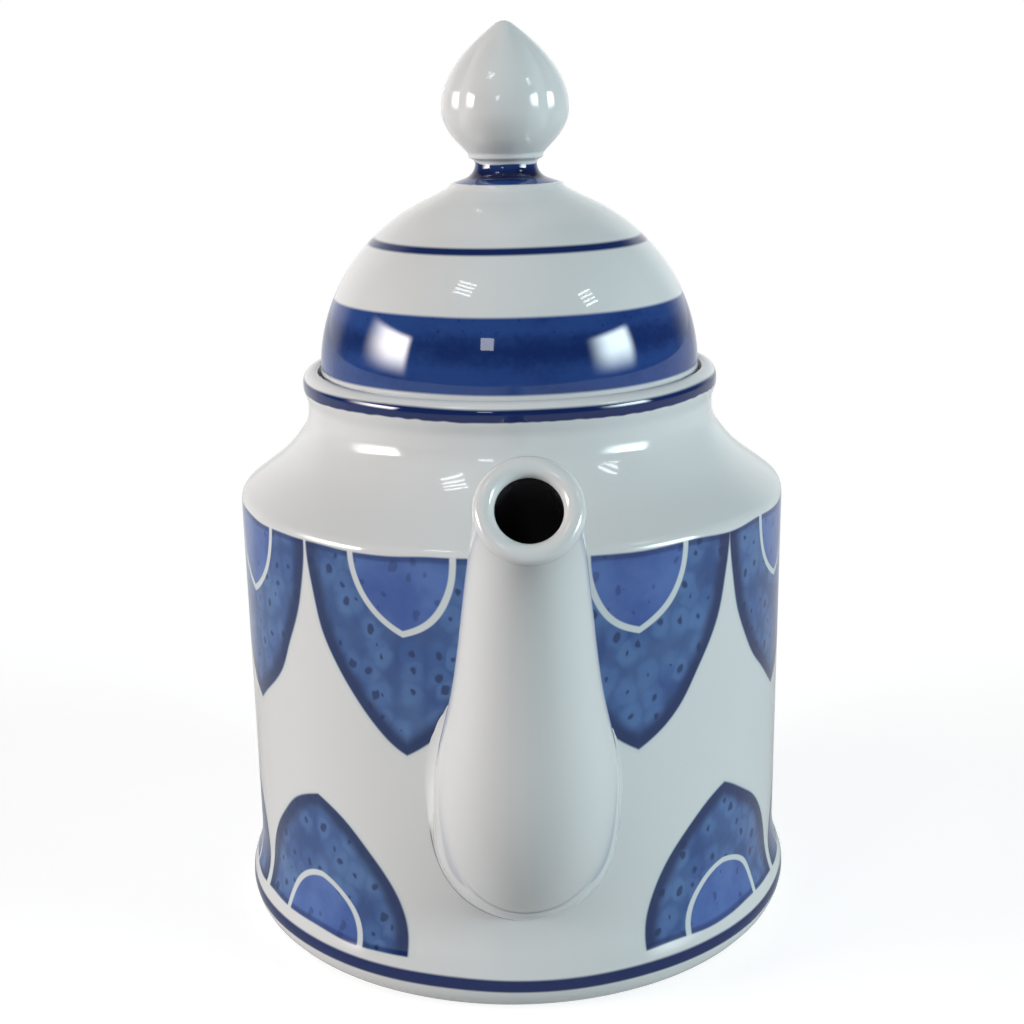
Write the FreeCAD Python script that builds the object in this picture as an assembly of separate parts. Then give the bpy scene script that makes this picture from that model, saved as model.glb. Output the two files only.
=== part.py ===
import FreeCAD, Part
import math
import os

# A porcelain teapot, in millimetres. The pot is turned about the Z axis and stands on Z = 0.
# The spout points to -Y, the handle to +Y, and the lid lifts off along +Z.

# Pot body: the wall, the foot and the floor.
BODY_DIAMETER = 120.0
WALL = 3.6
SHOULDER_HEIGHT = 97.5
SHOULDER_EDGE_ROUND = 3.0
FOOT_BEAD_PROJECTION = 2.6
FOOT_BEAD_ROUND = 6.5
FOOT_COVE_ROUND = 24.0
FOOT_RING_WIDTH = 3.4
FOOT_RING_ROUND = 0.8
FOOT_WELL_DEPTH = 4.5
FOOT_WELL_DRAFT = 1.6
FOOT_WELL_ROUND = 2.5
FLOOR_THICKNESS = 4.2
FLOOR_ROUND = 8.0
SHOULDER_INSIDE_ROUND = 4.0

# Pot body: the coved shoulder, and the collar with the gallery that the lid sits in.
SHOULDER_RISE = 13.3
NECK_COVE_ROUND = 7.0
NECK_RISE = 6.3
LIP_FLARE_RISE = 2.4
LIP_FLARE_ROUND = 5.0
LIP_RISE = 4.1
LIP_WIDTH = 3.4
LIP_OVERHANG = 0.9
LIP_ROUND = 2.5
LIP_INSIDE_ROUND = 0.8
GALLERY_DEPTH = 2.6
GALLERY_ROUND = 0.5
LEDGE_WIDTH = 5.7
LEDGE_THICKNESS = 3.6
LEDGE_ROUND = 0.8

# Lid: the dome, its seat and the flange inside the mouth.
LID_DIAMETER = 82.6
LID_RIM_CLEARANCE = 0.6
LID_RIM_HEIGHT = 2.0
LID_RIM_ROUND = 0.8
LID_WALL = 3.5
DOME_RISE = 39.8
FLANGE_CLEARANCE = 0.6
FLANGE_DEPTH = 10.0
FLANGE_WALL = 3.0
FLANGE_ROUND = 1.0
VENT_DIAMETER = 2.6
VENT_FROM_AXIS = 24.0

# Knob: flared foot, waist and ring, then a lobed bud that ends in a point.
# The bud is lofted through level slices, closer together towards its point.
KNOB_FOOT_DIAMETER = 24.0
KNOB_FOOT_EDGE = 1.3
KNOB_FOOT_ROUND = 0.5
KNOB_FLARE_RISE = 1.8
KNOB_FLARE_ROUND = 3.0
KNOB_WAIST_DIAMETER = 13.2
KNOB_WAIST_HEIGHT = 5.0
KNOB_RING_DIAMETER = 16.0
KNOB_RING_HEIGHT = 1.7
KNOB_RING_ROUND = 0.7
BUD_FOOT_DIAMETER = 15.0
BUD_DIAMETER = 27.2
BUD_HEIGHT = 27.2
BUD_WIDEST_HEIGHT = 9.4
BUD_SWELL_POWER = 1.9
BUD_POINT_POWER = 0.78
BUD_LOBES = 4
BUD_CREASE_DEPTH = 0.9
BUD_CREASE_START = 1.5
BUD_CREASE_FULL = 11.0
BUD_STATIONS = (0.0, 0.12, 0.24, 0.37, 0.5, 0.62, 0.74, 0.85, 0.93, 0.975, 0.993)

# Spout: a hollow tapered tube on a gentle S curve, with a rounded lip.
SPOUT_ROOT_HEIGHT = 42.6
SPOUT_ROOT_DIAMETER = 38.6
SPOUT_ROOT_ANGLE = 28.0
SPOUT_ROOT_PULL = 34.0
SPOUT_TIP_REACH = 45.7
SPOUT_TIP_BELOW_LIP = 4.6
SPOUT_TIP_DIAMETER = 16.8
SPOUT_TIP_ANGLE = 33.0
SPOUT_TIP_PULL = 28.0
SPOUT_TAPER_POWER = 1.15
SPOUT_WALL = 2.8
SPOUT_LIP_DIAMETER = 17.9
SPOUT_LIP_THICKNESS = 3.5
SPOUT_STATIONS = 8

# Strainer: round holes in hexagonal rows through the wall behind the spout.
STRAINER_HOLE_DIAMETER = 6.0
STRAINER_PITCH = 9.0
STRAINER_RINGS = 1

# Handle: an ear-shaped loop of oval section, thicker where it joins the wall.
HANDLE_REACH = 51.7
HANDLE_TOP_BELOW_SHOULDER = 11.5
HANDLE_TOP_ANGLE = 25.0
HANDLE_TOP_PULL = 26.0
HANDLE_OUTER_BELOW_TOP = 16.0
HANDLE_OUTER_PULL = 25.0
HANDLE_LOW_HEIGHT = 33.0
HANDLE_LOW_ANGLE = 15.0
HANDLE_LOW_PULL = 26.0
HANDLE_WIDTH = 14.0
HANDLE_THICKNESS = 9.5
HANDLE_TOP_WIDTH = 18.0
HANDLE_TOP_THICKNESS = 12.5
HANDLE_LOW_WIDTH = 16.0
HANDLE_LOW_THICKNESS = 11.0
HANDLE_STATIONS = 6

# Slip fillet where the spout and the handle are stuck to the wall.
SLIP_ROUND = 2.4

# How far a luted piece or a cutter runs past the face where it is trimmed,
# and how near two points lie that count as one.
TRIM = 4.0
TOUCH = 0.001
UP = FreeCAD.Vector(0, 0, 1)
ORIGIN = FreeCAD.Vector(0, 0, 0)

# Places that follow from the sizes above.
wall_radius = BODY_DIAMETER / 2
bead_radius = wall_radius + FOOT_BEAD_PROJECTION - FOOT_BEAD_ROUND
gallery_radius = LID_DIAMETER / 2 + LID_RIM_CLEARANCE
mouth_radius = gallery_radius - LEDGE_WIDTH
lip_radius = gallery_radius + LIP_WIDTH
neck_radius = lip_radius - LIP_OVERHANG
neck_base = SHOULDER_HEIGHT + SHOULDER_RISE
lip_top = neck_base + NECK_RISE + LIP_FLARE_RISE + LIP_RISE
seat_height = lip_top - GALLERY_DEPTH
dome_base = seat_height + LID_RIM_HEIGHT
floor_top = FOOT_WELL_DEPTH + FLOOR_THICKNESS


def on_profile(radius, height):
    """A point of a turned profile, in the XZ plane."""
    return FreeCAD.Vector(radius, 0, height)


def rounded_path(corners):
    """Edges along (radius, height, rounding) corners; the two ends are left as they are."""
    points = [on_profile(radius, height) for radius, height, rounding in corners]
    edges = []
    start = points[0]
    for before, corner, after, size in zip(points, points[1:], points[2:], corners[1:]):
        rounding = size[2]
        if rounding == 0:
            edges.append(Part.makeLine(start, corner))
            start = corner
            continue
        back = (before - corner).normalize()
        ahead = (after - corner).normalize()
        half_angle = back.getAngle(ahead) / 2
        middle = (back + ahead).normalize()
        tangent_length = rounding / math.tan(half_angle)
        arc_start = corner + back * tangent_length
        arc_middle = corner + middle * (rounding / math.sin(half_angle) - rounding)
        arc_end = corner + ahead * tangent_length
        if not start.isEqual(arc_start, TOUCH):
            edges.append(Part.makeLine(start, arc_start))
        edges.append(Part.Arc(arc_start, arc_middle, arc_end).toShape())
        start = arc_end
    edges.append(Part.makeLine(start, points[-1]))
    return edges


def dome_radius(radius, rise):
    """The radius of a round dome that is as wide as twice the first size and as high as the second."""
    return (radius ** 2 + rise ** 2) / (2 * rise)


def dome_line(radius, base, rise):
    """The arc of a round dome from its rim at (radius, base) up to the axis."""
    top = base + rise
    sphere = dome_radius(radius, rise)
    half_way = math.atan2(radius, sphere - rise) / 2
    middle = on_profile(sphere * math.sin(half_way), top - sphere + sphere * math.cos(half_way))
    return Part.Arc(on_profile(radius, base), middle, on_profile(0, top)).toShape()


def turned(edges):
    """The solid swept by a profile whose two ends lie on the turning axis."""
    ends = [vertex.Point for edge in edges for vertex in edge.Vertexes if abs(vertex.X) < TOUCH]
    axis_line = Part.makeLine(max(ends, key=lambda end: end.z), min(ends, key=lambda end: end.z))
    wire = Part.Wire(Part.__sortEdges__(edges + [axis_line]))
    return Part.Face(wire).revolve(ORIGIN, UP, 360)


def foot_corners():
    """Corners of the bead and of the cove above it, which touch on one common tangent line."""
    across = wall_radius + FOOT_COVE_ROUND - bead_radius
    apart = FOOT_BEAD_ROUND + FOOT_COVE_ROUND
    lean = math.acos(across / apart)
    bead_corner = bead_radius + FOOT_BEAD_ROUND * (1 + math.sin(lean)) / math.cos(lean)
    cove_height = (bead_corner - wall_radius) / math.tan(lean)
    return [
        (bead_corner, 0, FOOT_BEAD_ROUND),
        (wall_radius, cove_height, FOOT_COVE_ROUND),
    ]


def outside_corners():
    """The pot's outer profile from the standing ring up to the top of the lip."""
    lip_flare = neck_base + NECK_RISE
    return foot_corners() + [
        (wall_radius, SHOULDER_HEIGHT, SHOULDER_EDGE_ROUND),
        (neck_radius, neck_base, NECK_COVE_ROUND),
        (neck_radius, lip_flare, LIP_FLARE_ROUND),
        (lip_radius, lip_flare + LIP_FLARE_RISE, LIP_FLARE_ROUND),
        (lip_radius, lip_top, LIP_ROUND),
    ]


def pot_envelope():
    """The pot filled solid, for trimming what is luted to it."""
    return turned(rounded_path([(0, 0, 0)] + outside_corners() + [(0, lip_top, 0)]))


def luted(piece):
    """A piece stuck to the wall: trimmed to the pot's outside, with a slip fillet round its joint."""
    pot = pot_envelope()
    joint = piece.section(pot)
    joined = piece.fuse(pot)
    joint_edges = []
    for edge in joined.Edges:
        middle = edge.valueAt((edge.FirstParameter + edge.LastParameter) / 2)
        if joint.distToShape(Part.Vertex(middle))[0] < TOUCH:
            joint_edges.append(edge)
    return joined.makeFillet(SLIP_ROUND, joint_edges).cut(pot)


def inside_corners():
    """The pot's inner profile from the lip down over the gallery ledge to the floor."""
    pitch = math.atan2(SHOULDER_RISE, wall_radius - neck_radius)
    inner_wall = wall_radius - WALL
    inner_neck = neck_radius - WALL
    slope_radius = wall_radius - WALL * math.sin(pitch)
    slope_height = SHOULDER_HEIGHT - WALL * math.cos(pitch)
    slope = math.tan(pitch)
    return [
        (gallery_radius, lip_top, LIP_INSIDE_ROUND),
        (gallery_radius, seat_height, GALLERY_ROUND),
        (mouth_radius, seat_height, LEDGE_ROUND),
        (mouth_radius, seat_height - LEDGE_THICKNESS, LEDGE_ROUND),
        (inner_neck, slope_height + (slope_radius - inner_neck) * slope, SHOULDER_INSIDE_ROUND),
        (inner_wall, slope_height + (slope_radius - inner_wall) * slope, SHOULDER_INSIDE_ROUND),
        (inner_wall, floor_top, FLOOR_ROUND),
        (0, floor_top, 0),
    ]


def strainer_holes():
    """Round cutters through the wall, in a hexagon centred on the spout's root."""
    steps = range(-STRAINER_RINGS, STRAINER_RINGS + 1)
    holes = []
    for row in steps:
        for step in steps:
            if abs(row + step) > STRAINER_RINGS:
                continue
            across = STRAINER_PITCH * (step + row / 2)
            height = SPOUT_ROOT_HEIGHT + STRAINER_PITCH * row * math.sqrt(3) / 2
            start = FreeCAD.Vector(across, -wall_radius - TRIM, height)
            depth = TRIM + WALL + TRIM
            holes.append(
                Part.makeCylinder(STRAINER_HOLE_DIAMETER / 2, depth, start, FreeCAD.Vector(0, 1, 0))
            )
    return holes


def pot_body():
    """The turned pot with its foot ring and well, its gallery and the strainer holes."""
    ring_inside = bead_radius - FOOT_RING_WIDTH
    underside = [
        (0, FOOT_WELL_DEPTH, 0),
        (ring_inside - FOOT_WELL_DRAFT, FOOT_WELL_DEPTH, FOOT_WELL_ROUND),
        (ring_inside, 0, FOOT_RING_ROUND),
    ]
    shell = turned(rounded_path(underside + outside_corners() + inside_corners()))
    return shell.cut(strainer_holes())


def bezier(poles):
    """A curve in the YZ plane through its first and last (y, z) pole."""
    curve = Part.BezierCurve()
    curve.setPoles([FreeCAD.Vector(0, y, z) for y, z in poles])
    return curve


def oval_across(centre, heading, width, thickness):
    """A closed oval square to a heading in the YZ plane, with its width along X."""
    if width == thickness:
        oval = Part.Circle(ORIGIN, UP, width / 2)
    else:
        oval = Part.Ellipse(ORIGIN, width / 2, thickness / 2)
    turn = FreeCAD.Rotation(FreeCAD.Vector(1, 0, 0), math.degrees(math.atan2(-heading.y, heading.z)))
    wire = Part.Wire(oval.toShape())
    wire.Placement = FreeCAD.Placement(centre, turn)
    return wire


def spout_centreline():
    """From the wall, low and outwards, then up and out again to the lip."""
    root_angle = math.radians(SPOUT_ROOT_ANGLE)
    tip_angle = math.radians(SPOUT_TIP_ANGLE)
    tip_y = -wall_radius - SPOUT_TIP_REACH
    tip_height = lip_top - SPOUT_TIP_BELOW_LIP
    return bezier([
        (-wall_radius, SPOUT_ROOT_HEIGHT),
        (
            -wall_radius - SPOUT_ROOT_PULL * math.cos(root_angle),
            SPOUT_ROOT_HEIGHT + SPOUT_ROOT_PULL * math.sin(root_angle),
        ),
        (
            tip_y + SPOUT_TIP_PULL * math.cos(tip_angle),
            tip_height - SPOUT_TIP_PULL * math.sin(tip_angle),
        ),
        (tip_y, tip_height),
    ])


def spout_loft(inset, overrun):
    """The spout's tapered form, drawn in by an inset and run on past its lip by an overrun."""
    line = spout_centreline()
    root_heading = line.tangent(0)[0]
    tip_heading = line.tangent(1)[0]
    growth = SPOUT_ROOT_DIAMETER - SPOUT_TIP_DIAMETER
    sink = SPOUT_ROOT_DIAMETER / 2 * math.tan(math.radians(SPOUT_ROOT_ANGLE)) + TRIM
    root_size = SPOUT_ROOT_DIAMETER - 2 * inset
    tip_size = SPOUT_TIP_DIAMETER - 2 * inset
    rings = [oval_across(line.value(0) - root_heading * sink, root_heading, root_size, root_size)]
    for station in range(SPOUT_STATIONS + 1):
        along = station / SPOUT_STATIONS
        size = tip_size + growth * (1 - along) ** SPOUT_TAPER_POWER
        rings.append(oval_across(line.value(along), line.tangent(along)[0], size, size))
    if overrun:
        rings.append(oval_across(line.value(1) + tip_heading * overrun, tip_heading, tip_size, tip_size))
    return Part.makeLoft(rings, True)


def spout():
    """The hollow spout with its rolled lip, luted to the wall over the strainer."""
    line = spout_centreline()
    tube = luted(spout_loft(0, 0)).cut(spout_loft(SPOUT_WALL, TRIM))
    lip_middle = (SPOUT_LIP_DIAMETER - SPOUT_LIP_THICKNESS) / 2
    lip = Part.makeTorus(lip_middle, SPOUT_LIP_THICKNESS / 2, line.value(1), line.tangent(1)[0])
    return tube.fuse(lip)


def handle():
    """The loop behind the pot, lofted through ovals and luted to the wall at both ends."""
    top_angle = math.radians(HANDLE_TOP_ANGLE)
    low_angle = math.radians(HANDLE_LOW_ANGLE)
    root_y = wall_radius - TRIM
    top_height = SHOULDER_HEIGHT - HANDLE_TOP_BELOW_SHOULDER
    outer_y = wall_radius + HANDLE_REACH - HANDLE_THICKNESS / 2
    outer_height = top_height - HANDLE_OUTER_BELOW_TOP
    upper = bezier([
        (root_y, top_height),
        (
            root_y + HANDLE_TOP_PULL * math.cos(top_angle),
            top_height + HANDLE_TOP_PULL * math.sin(top_angle),
        ),
        (outer_y, outer_height + HANDLE_OUTER_PULL),
        (outer_y, outer_height),
    ])
    lower = bezier([
        (outer_y, outer_height),
        (outer_y, outer_height - HANDLE_OUTER_PULL),
        (
            root_y + HANDLE_LOW_PULL * math.cos(low_angle),
            HANDLE_LOW_HEIGHT + HANDLE_LOW_PULL * math.sin(low_angle),
        ),
        (root_y, HANDLE_LOW_HEIGHT),
    ])
    ovals = []
    for station in range(HANDLE_STATIONS + 1):
        along = station / HANDLE_STATIONS
        swell = (1 - along) ** 2
        width = HANDLE_WIDTH + (HANDLE_TOP_WIDTH - HANDLE_WIDTH) * swell
        thickness = HANDLE_THICKNESS + (HANDLE_TOP_THICKNESS - HANDLE_THICKNESS) * swell
        ovals.append(oval_across(upper.value(along), upper.tangent(along)[0], width, thickness))
    for station in range(1, HANDLE_STATIONS + 1):
        along = station / HANDLE_STATIONS
        swell = along ** 2
        width = HANDLE_WIDTH + (HANDLE_LOW_WIDTH - HANDLE_WIDTH) * swell
        thickness = HANDLE_THICKNESS + (HANDLE_LOW_THICKNESS - HANDLE_THICKNESS) * swell
        ovals.append(oval_across(lower.value(along), lower.tangent(along)[0], width, thickness))
    return luted(Part.makeLoft(ovals, True))


def lid_crown():
    """The lid's outer dome filled solid, for seating the knob on it."""
    rim = LID_DIAMETER / 2
    return turned([
        Part.makeLine(on_profile(0, dome_base), on_profile(rim, dome_base)),
        dome_line(rim, dome_base, DOME_RISE),
    ])


def lid_dome():
    """The hollow dome, its flat seat, and the flange that hangs in the mouth."""
    rim = LID_DIAMETER / 2
    flange = mouth_radius - FLANGE_CLEARANCE
    flange_inside = flange - FLANGE_WALL
    flange_end = seat_height - FLANGE_DEPTH
    web_top = seat_height + LID_WALL
    hollow = rim - LID_WALL
    hollow_rise = dome_base + DOME_RISE - LID_WALL - web_top
    underside = rounded_path([
        (rim, dome_base, 0),
        (rim, seat_height, LID_RIM_ROUND),
        (flange, seat_height, 0),
        (flange, flange_end, FLANGE_ROUND),
        (flange_inside, flange_end, FLANGE_ROUND),
        (flange_inside, web_top, FLANGE_ROUND),
        (hollow, web_top, 0),
    ])
    outer = dome_line(rim, dome_base, DOME_RISE)
    inner = dome_line(hollow, web_top, hollow_rise)
    dome = turned([outer] + underside + [inner])
    vent_start = FreeCAD.Vector(0, VENT_FROM_AXIS, dome_base)
    return dome.cut(Part.makeCylinder(VENT_DIAMETER / 2, DOME_RISE + TRIM, vent_start, UP))


def bud_radius(height):
    """The bud's half width at a height above the ring: a swelling foot, then a taper to a point."""
    foot = BUD_FOOT_DIAMETER / 2
    widest = BUD_DIAMETER / 2
    if height < BUD_WIDEST_HEIGHT:
        return widest - (widest - foot) * (1 - height / BUD_WIDEST_HEIGHT) ** BUD_SWELL_POWER
    climb = (height - BUD_WIDEST_HEIGHT) / (BUD_HEIGHT - BUD_WIDEST_HEIGHT)
    return widest * (1 - climb ** 2) ** BUD_POINT_POWER


def bud_section(base, height):
    """One level slice of the bud: equal lobes that meet in creases, which run out above its foot."""
    lobe = bud_radius(height)
    pressed = (height - BUD_CREASE_START) / (BUD_CREASE_FULL - BUD_CREASE_START)
    depth = BUD_CREASE_DEPTH * min(max(pressed, 0.0), 1.0)
    crease = lobe * (1 - depth / (BUD_DIAMETER / 2))
    turn = 2 * math.pi / BUD_LOBES

    def around(radius, angle):
        return FreeCAD.Vector(radius * math.cos(angle), radius * math.sin(angle), base + height)

    arcs = []
    for number in range(BUD_LOBES):
        middle = number * turn
        left = around(crease, middle - turn / 2)
        right = around(crease, middle + turn / 2)
        arcs.append(Part.Arc(left, around(lobe, middle), right).toShape())
    return Part.Wire(arcs)


def lid_knob():
    """The knob: a turned foot seated on the dome, and the lobed bud on its ring."""
    rim = LID_DIAMETER / 2
    foot = KNOB_FOOT_DIAMETER / 2
    waist = KNOB_WAIST_DIAMETER / 2
    ring = KNOB_RING_DIAMETER / 2
    sphere = dome_radius(rim, DOME_RISE)
    dome_at_foot = dome_base + DOME_RISE - sphere + math.sqrt(sphere ** 2 - foot ** 2)
    foot_top = dome_at_foot + KNOB_FOOT_EDGE
    ring_base = foot_top + KNOB_WAIST_HEIGHT
    ring_top = ring_base + KNOB_RING_HEIGHT
    stem = turned(rounded_path([
        (0, dome_at_foot - TRIM, 0),
        (foot, dome_at_foot - TRIM, 0),
        (foot, foot_top, KNOB_FOOT_ROUND),
        (waist, foot_top + KNOB_FLARE_RISE, KNOB_FLARE_ROUND),
        (waist, ring_base, KNOB_RING_ROUND),
        (ring, ring_base, KNOB_RING_ROUND),
        (ring, ring_top, KNOB_RING_ROUND),
        (0, ring_top, 0),
    ]))
    bud_base = ring_top - KNOB_RING_ROUND
    sections = [bud_section(bud_base, BUD_HEIGHT * share) for share in BUD_STATIONS]
    point = Part.Vertex(0, 0, bud_base + BUD_HEIGHT)
    bud = Part.makeLoft(sections + [point], True)
    return stem.fuse(bud).cut(lid_crown())


os.makedirs("parts", exist_ok=True)
pieces = {
    "pot_body": pot_body(),
    "spout": spout(),
    "handle": handle(),
    "lid_dome": lid_dome(),
    "lid_knob": lid_knob(),
}
for name, shape in pieces.items():
    shape.exportStep("parts/" + name + ".step")
    print(name, len(shape.Solids), "solid, valid:", shape.isValid(), "volume:", round(shape.Volume))
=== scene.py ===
import math

import bmesh
import bpy
from mathutils import Matrix, Quaternion, Vector


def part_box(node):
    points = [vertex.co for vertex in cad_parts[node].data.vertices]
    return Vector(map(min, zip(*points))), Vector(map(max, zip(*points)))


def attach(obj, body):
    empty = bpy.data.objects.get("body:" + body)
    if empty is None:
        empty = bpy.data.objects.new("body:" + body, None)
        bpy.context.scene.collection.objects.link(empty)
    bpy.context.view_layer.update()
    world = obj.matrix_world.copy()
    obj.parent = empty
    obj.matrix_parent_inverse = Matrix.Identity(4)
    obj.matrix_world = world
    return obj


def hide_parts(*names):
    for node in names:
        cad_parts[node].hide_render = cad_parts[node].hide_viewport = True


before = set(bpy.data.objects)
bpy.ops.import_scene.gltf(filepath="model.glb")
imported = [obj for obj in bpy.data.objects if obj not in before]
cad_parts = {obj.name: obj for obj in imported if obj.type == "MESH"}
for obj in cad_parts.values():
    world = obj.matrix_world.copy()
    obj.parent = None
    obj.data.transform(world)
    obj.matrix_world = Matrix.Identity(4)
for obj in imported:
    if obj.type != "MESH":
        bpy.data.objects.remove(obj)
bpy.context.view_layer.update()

# Pot body: a hollow porcelain pot, turned on the wheel from the foot ring to the rolled lip, with
# the strainer pierced through its wall behind the spout. It is painted in cobalt and glazed over,
# all but the standing ring, which is wiped bare. Sizes are in millimetres until a mesh is placed.
MM = 0.001
POT_STEPS = 192
ROUND_STEPS = 8
LONGEST_RUN = 2.5
RUN_SLACK = 0.01
MERGE_DISTANCE = 0.001
SHARP_ANGLE = math.radians(38)

WALL_RADIUS = 60.0
INNER_WALL = 56.4
BEAD_CORNER = 66.08
COVE_HEIGHT = 13.76
SHOULDER_HEIGHT = 97.5
HOLLOW_RADIUS = 49.6
HOLLOW_HEIGHT = 105.2
HOLLOW_ROUND = 30.0
NECK_RADIUS = 44.4
NECK_BASE = 112.4
LIP_FLARE = 117.1
LIP_RADIUS = 45.3
LIP_SIDE = 119.5
GALLERY_RADIUS = 41.9
GALLERY_DEPTH = 2.6
MOUTH_RADIUS = 36.2
LEDGE_THICKNESS = 3.6
INNER_NECK = 40.8
INNER_NECK_BASE = 109.14
INNER_SHOULDER = 95.84
FOOT_WELL = 4.5
FLOOR_TOP = 8.7
RING_INSIDE = 52.7
WELL_RADIUS = 51.1
WELL_ROUND = 2.5
BEAD_ROUND = 6.5
COVE_ROUND = 24
SHOULDER_ROUND = 3
NECK_ROUND = 8
FLARE_ROUND = 5
LIP_ROUND = 2.5
EDGE_ROUND = 0.8
GALLERY_ROUND = 0.5
INNER_ROUND = 4
FLOOR_ROUND = 8
lip_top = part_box("pot_body")[1].z / MM
seat_height = lip_top - GALLERY_DEPTH


def draw_run(wire, pen, end):
    """Carries a wire on from its last vertex in a straight run of short edges."""
    span = end - pen.co
    steps = math.ceil(span.length / LONGEST_RUN - RUN_SLACK)
    if steps == 0:
        return pen
    run = bmesh.ops.spin(
        wire, geom=[pen], cent=pen.co, axis=(0, 1, 0), dvec=span / steps, angle=0, steps=steps
    )
    return run["geom_last"][0]


def draw_section(wire, corners):
    """Draws a turned section through (radius, height, rounding) corners, with arcs at the roundings."""
    points = [Vector((radius, 0, height)) for radius, height, rounding in corners]
    pen = wire.verts.new(points[0])
    for before, corner, after, size in zip(points, points[1:], points[2:], corners[1:]):
        rounding = size[2]
        back = (before - corner).normalized()
        ahead = (after - corner).normalized()
        half_angle = back.angle(ahead) / 2
        pen = draw_run(wire, pen, corner + back * rounding / math.tan(half_angle))
        if rounding:
            centre = corner + (back + ahead).normalized() * rounding / math.sin(half_angle)
            arc = bmesh.ops.spin(
                wire,
                geom=[pen],
                cent=centre,
                axis=ahead.cross(back).normalized(),
                angle=math.pi - 2 * half_angle,
                steps=ROUND_STEPS,
            )
            pen = arc["geom_last"][0]
    return draw_run(wire, pen, points[-1])


def turn_section(wire, steps):
    """Spins a drawn section once about the pot's axis and closes its poles."""
    section = wire.verts[:] + wire.edges[:]
    bmesh.ops.spin(
        wire, geom=section, cent=(0, 0, 0), axis=(0, 0, 1), angle=2 * math.pi, steps=steps, use_merge=True
    )
    bmesh.ops.remove_doubles(wire, verts=wire.verts, dist=MERGE_DISTANCE)
    bmesh.ops.recalc_face_normals(wire, faces=wire.faces)


def fired_piece(name, clay, glaze):
    """Makes a finished mesh in millimetres an object in metres, with its glaze on."""
    bmesh.ops.scale(clay, vec=(MM, MM, MM), verts=clay.verts)
    mesh = bpy.data.meshes.new(name)
    clay.to_mesh(mesh)
    clay.free()
    mesh.shade_smooth()
    mesh.set_sharp_from_angle(angle=SHARP_ANGLE)
    mesh.materials.append(glaze)
    piece = bpy.data.objects.new(name, mesh)
    bpy.context.scene.collection.objects.link(piece)
    return piece


def pierce(piece, borer):
    """Cuts holes through a piece with a borer mesh in millimetres, which isn't kept, and drops slivers."""
    bmesh.ops.scale(borer, vec=(MM, MM, MM), verts=borer.verts)
    tool_mesh = bpy.data.meshes.new("borer")
    borer.to_mesh(tool_mesh)
    borer.free()
    tool = bpy.data.objects.new("borer", tool_mesh)
    bpy.context.scene.collection.objects.link(tool)
    cut = piece.modifiers.new("holes", "BOOLEAN")
    cut.operation = "DIFFERENCE"
    cut.solver = "EXACT"
    cut.object = tool
    solid = piece.data
    cut_piece = piece.evaluated_get(bpy.context.evaluated_depsgraph_get())
    piece.data = bpy.data.meshes.new_from_object(cut_piece)
    piece.modifiers.clear()
    pierced = bmesh.new()
    pierced.from_mesh(piece.data)
    bmesh.ops.dissolve_degenerate(pierced, edges=pierced.edges, dist=MERGE_DISTANCE * MM)
    pierced.to_mesh(piece.data)
    pierced.free()
    piece.data.set_sharp_from_angle(angle=SHARP_ANGLE)
    bpy.data.objects.remove(tool)
    bpy.data.meshes.remove(tool_mesh)
    bpy.data.meshes.remove(solid)


def feed(tree, socket, value):
    """Links a node's output into a socket, or sets the socket to a plain value."""
    if isinstance(value, bpy.types.NodeSocket):
        tree.links.new(value, socket)
    else:
        socket.default_value = value


def maths(tree, operation, first, second=0.0):
    """One step of arithmetic on two numbers."""
    node = tree.nodes.new("ShaderNodeMath")
    node.operation = operation
    feed(tree, node.inputs[0], first)
    feed(tree, node.inputs[1], second)
    return node.outputs[0]


def times(tree, first, second):
    """The product of two numbers."""
    return maths(tree, "MULTIPLY", first, second)


def fade(tree, value, start, end):
    """A soft step: 0 at the start value and 1 at the end value."""
    node = tree.nodes.new("ShaderNodeMapRange")
    node.interpolation_type = "SMOOTHSTEP"
    feed(tree, node.inputs["Value"], value)
    feed(tree, node.inputs["From Min"], start)
    feed(tree, node.inputs["From Max"], end)
    return node.outputs["Result"]


def blend(tree, share, under, over):
    """Lays one colour over another by a share from 0 to 1."""
    node = tree.nodes.new("ShaderNodeMix")
    node.data_type = "RGBA"
    feed(tree, node.inputs[0], share)
    feed(tree, node.inputs[6], under)
    feed(tree, node.inputs[7], over)
    return node.outputs[2]


def stretched(tree, place, stretch):
    """The place with each axis scaled, so that a texture on it is drawn out along the others."""
    node = tree.nodes.new("ShaderNodeVectorMath")
    node.operation = "MULTIPLY"
    feed(tree, node.inputs[0], place)
    feed(tree, node.inputs[1], stretch)
    return node.outputs[0]


def mottle(tree, place, grain, detail=2.0):
    """Cloudy noise from 0 to 1 whose lumps are about a grain, in mm, across."""
    node = tree.nodes.new("ShaderNodeTexNoise")
    feed(tree, node.inputs["Vector"], place)
    feed(tree, node.inputs["Scale"], 1 / grain)
    feed(tree, node.inputs["Detail"], detail)
    return node.outputs["Fac"]


def wander(tree, place, grain, reach):
    """A hand's unsteadiness: a length in mm, up to about the reach to either side of 0."""
    steady = maths(tree, "SUBTRACT", mottle(tree, place, grain, 0.0), 0.5)
    return times(tree, steady, 4 * reach)


def between(tree, value, low, high, softness):
    """1 between two values and 0 outside them, with soft edges."""
    above = fade(tree, value, low - softness, low + softness)
    below = fade(tree, value, high + softness, high - softness)
    return times(tree, above, below)


PORCELAIN_COOL = (0.690, 0.710, 0.722, 1)
PORCELAIN_WARM = (0.715, 0.717, 0.712, 1)
CLAY_GRAIN = 45.0
RIPPLE_GRAIN = 16.0
GLAZE_IOR = 1.52
GLOSS_SMOOTHEST = 0.02
GLOSS_ROUGHEST = 0.055
RIPPLE_STRENGTH = 0.12
RIPPLE_DEPTH = 0.6


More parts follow.
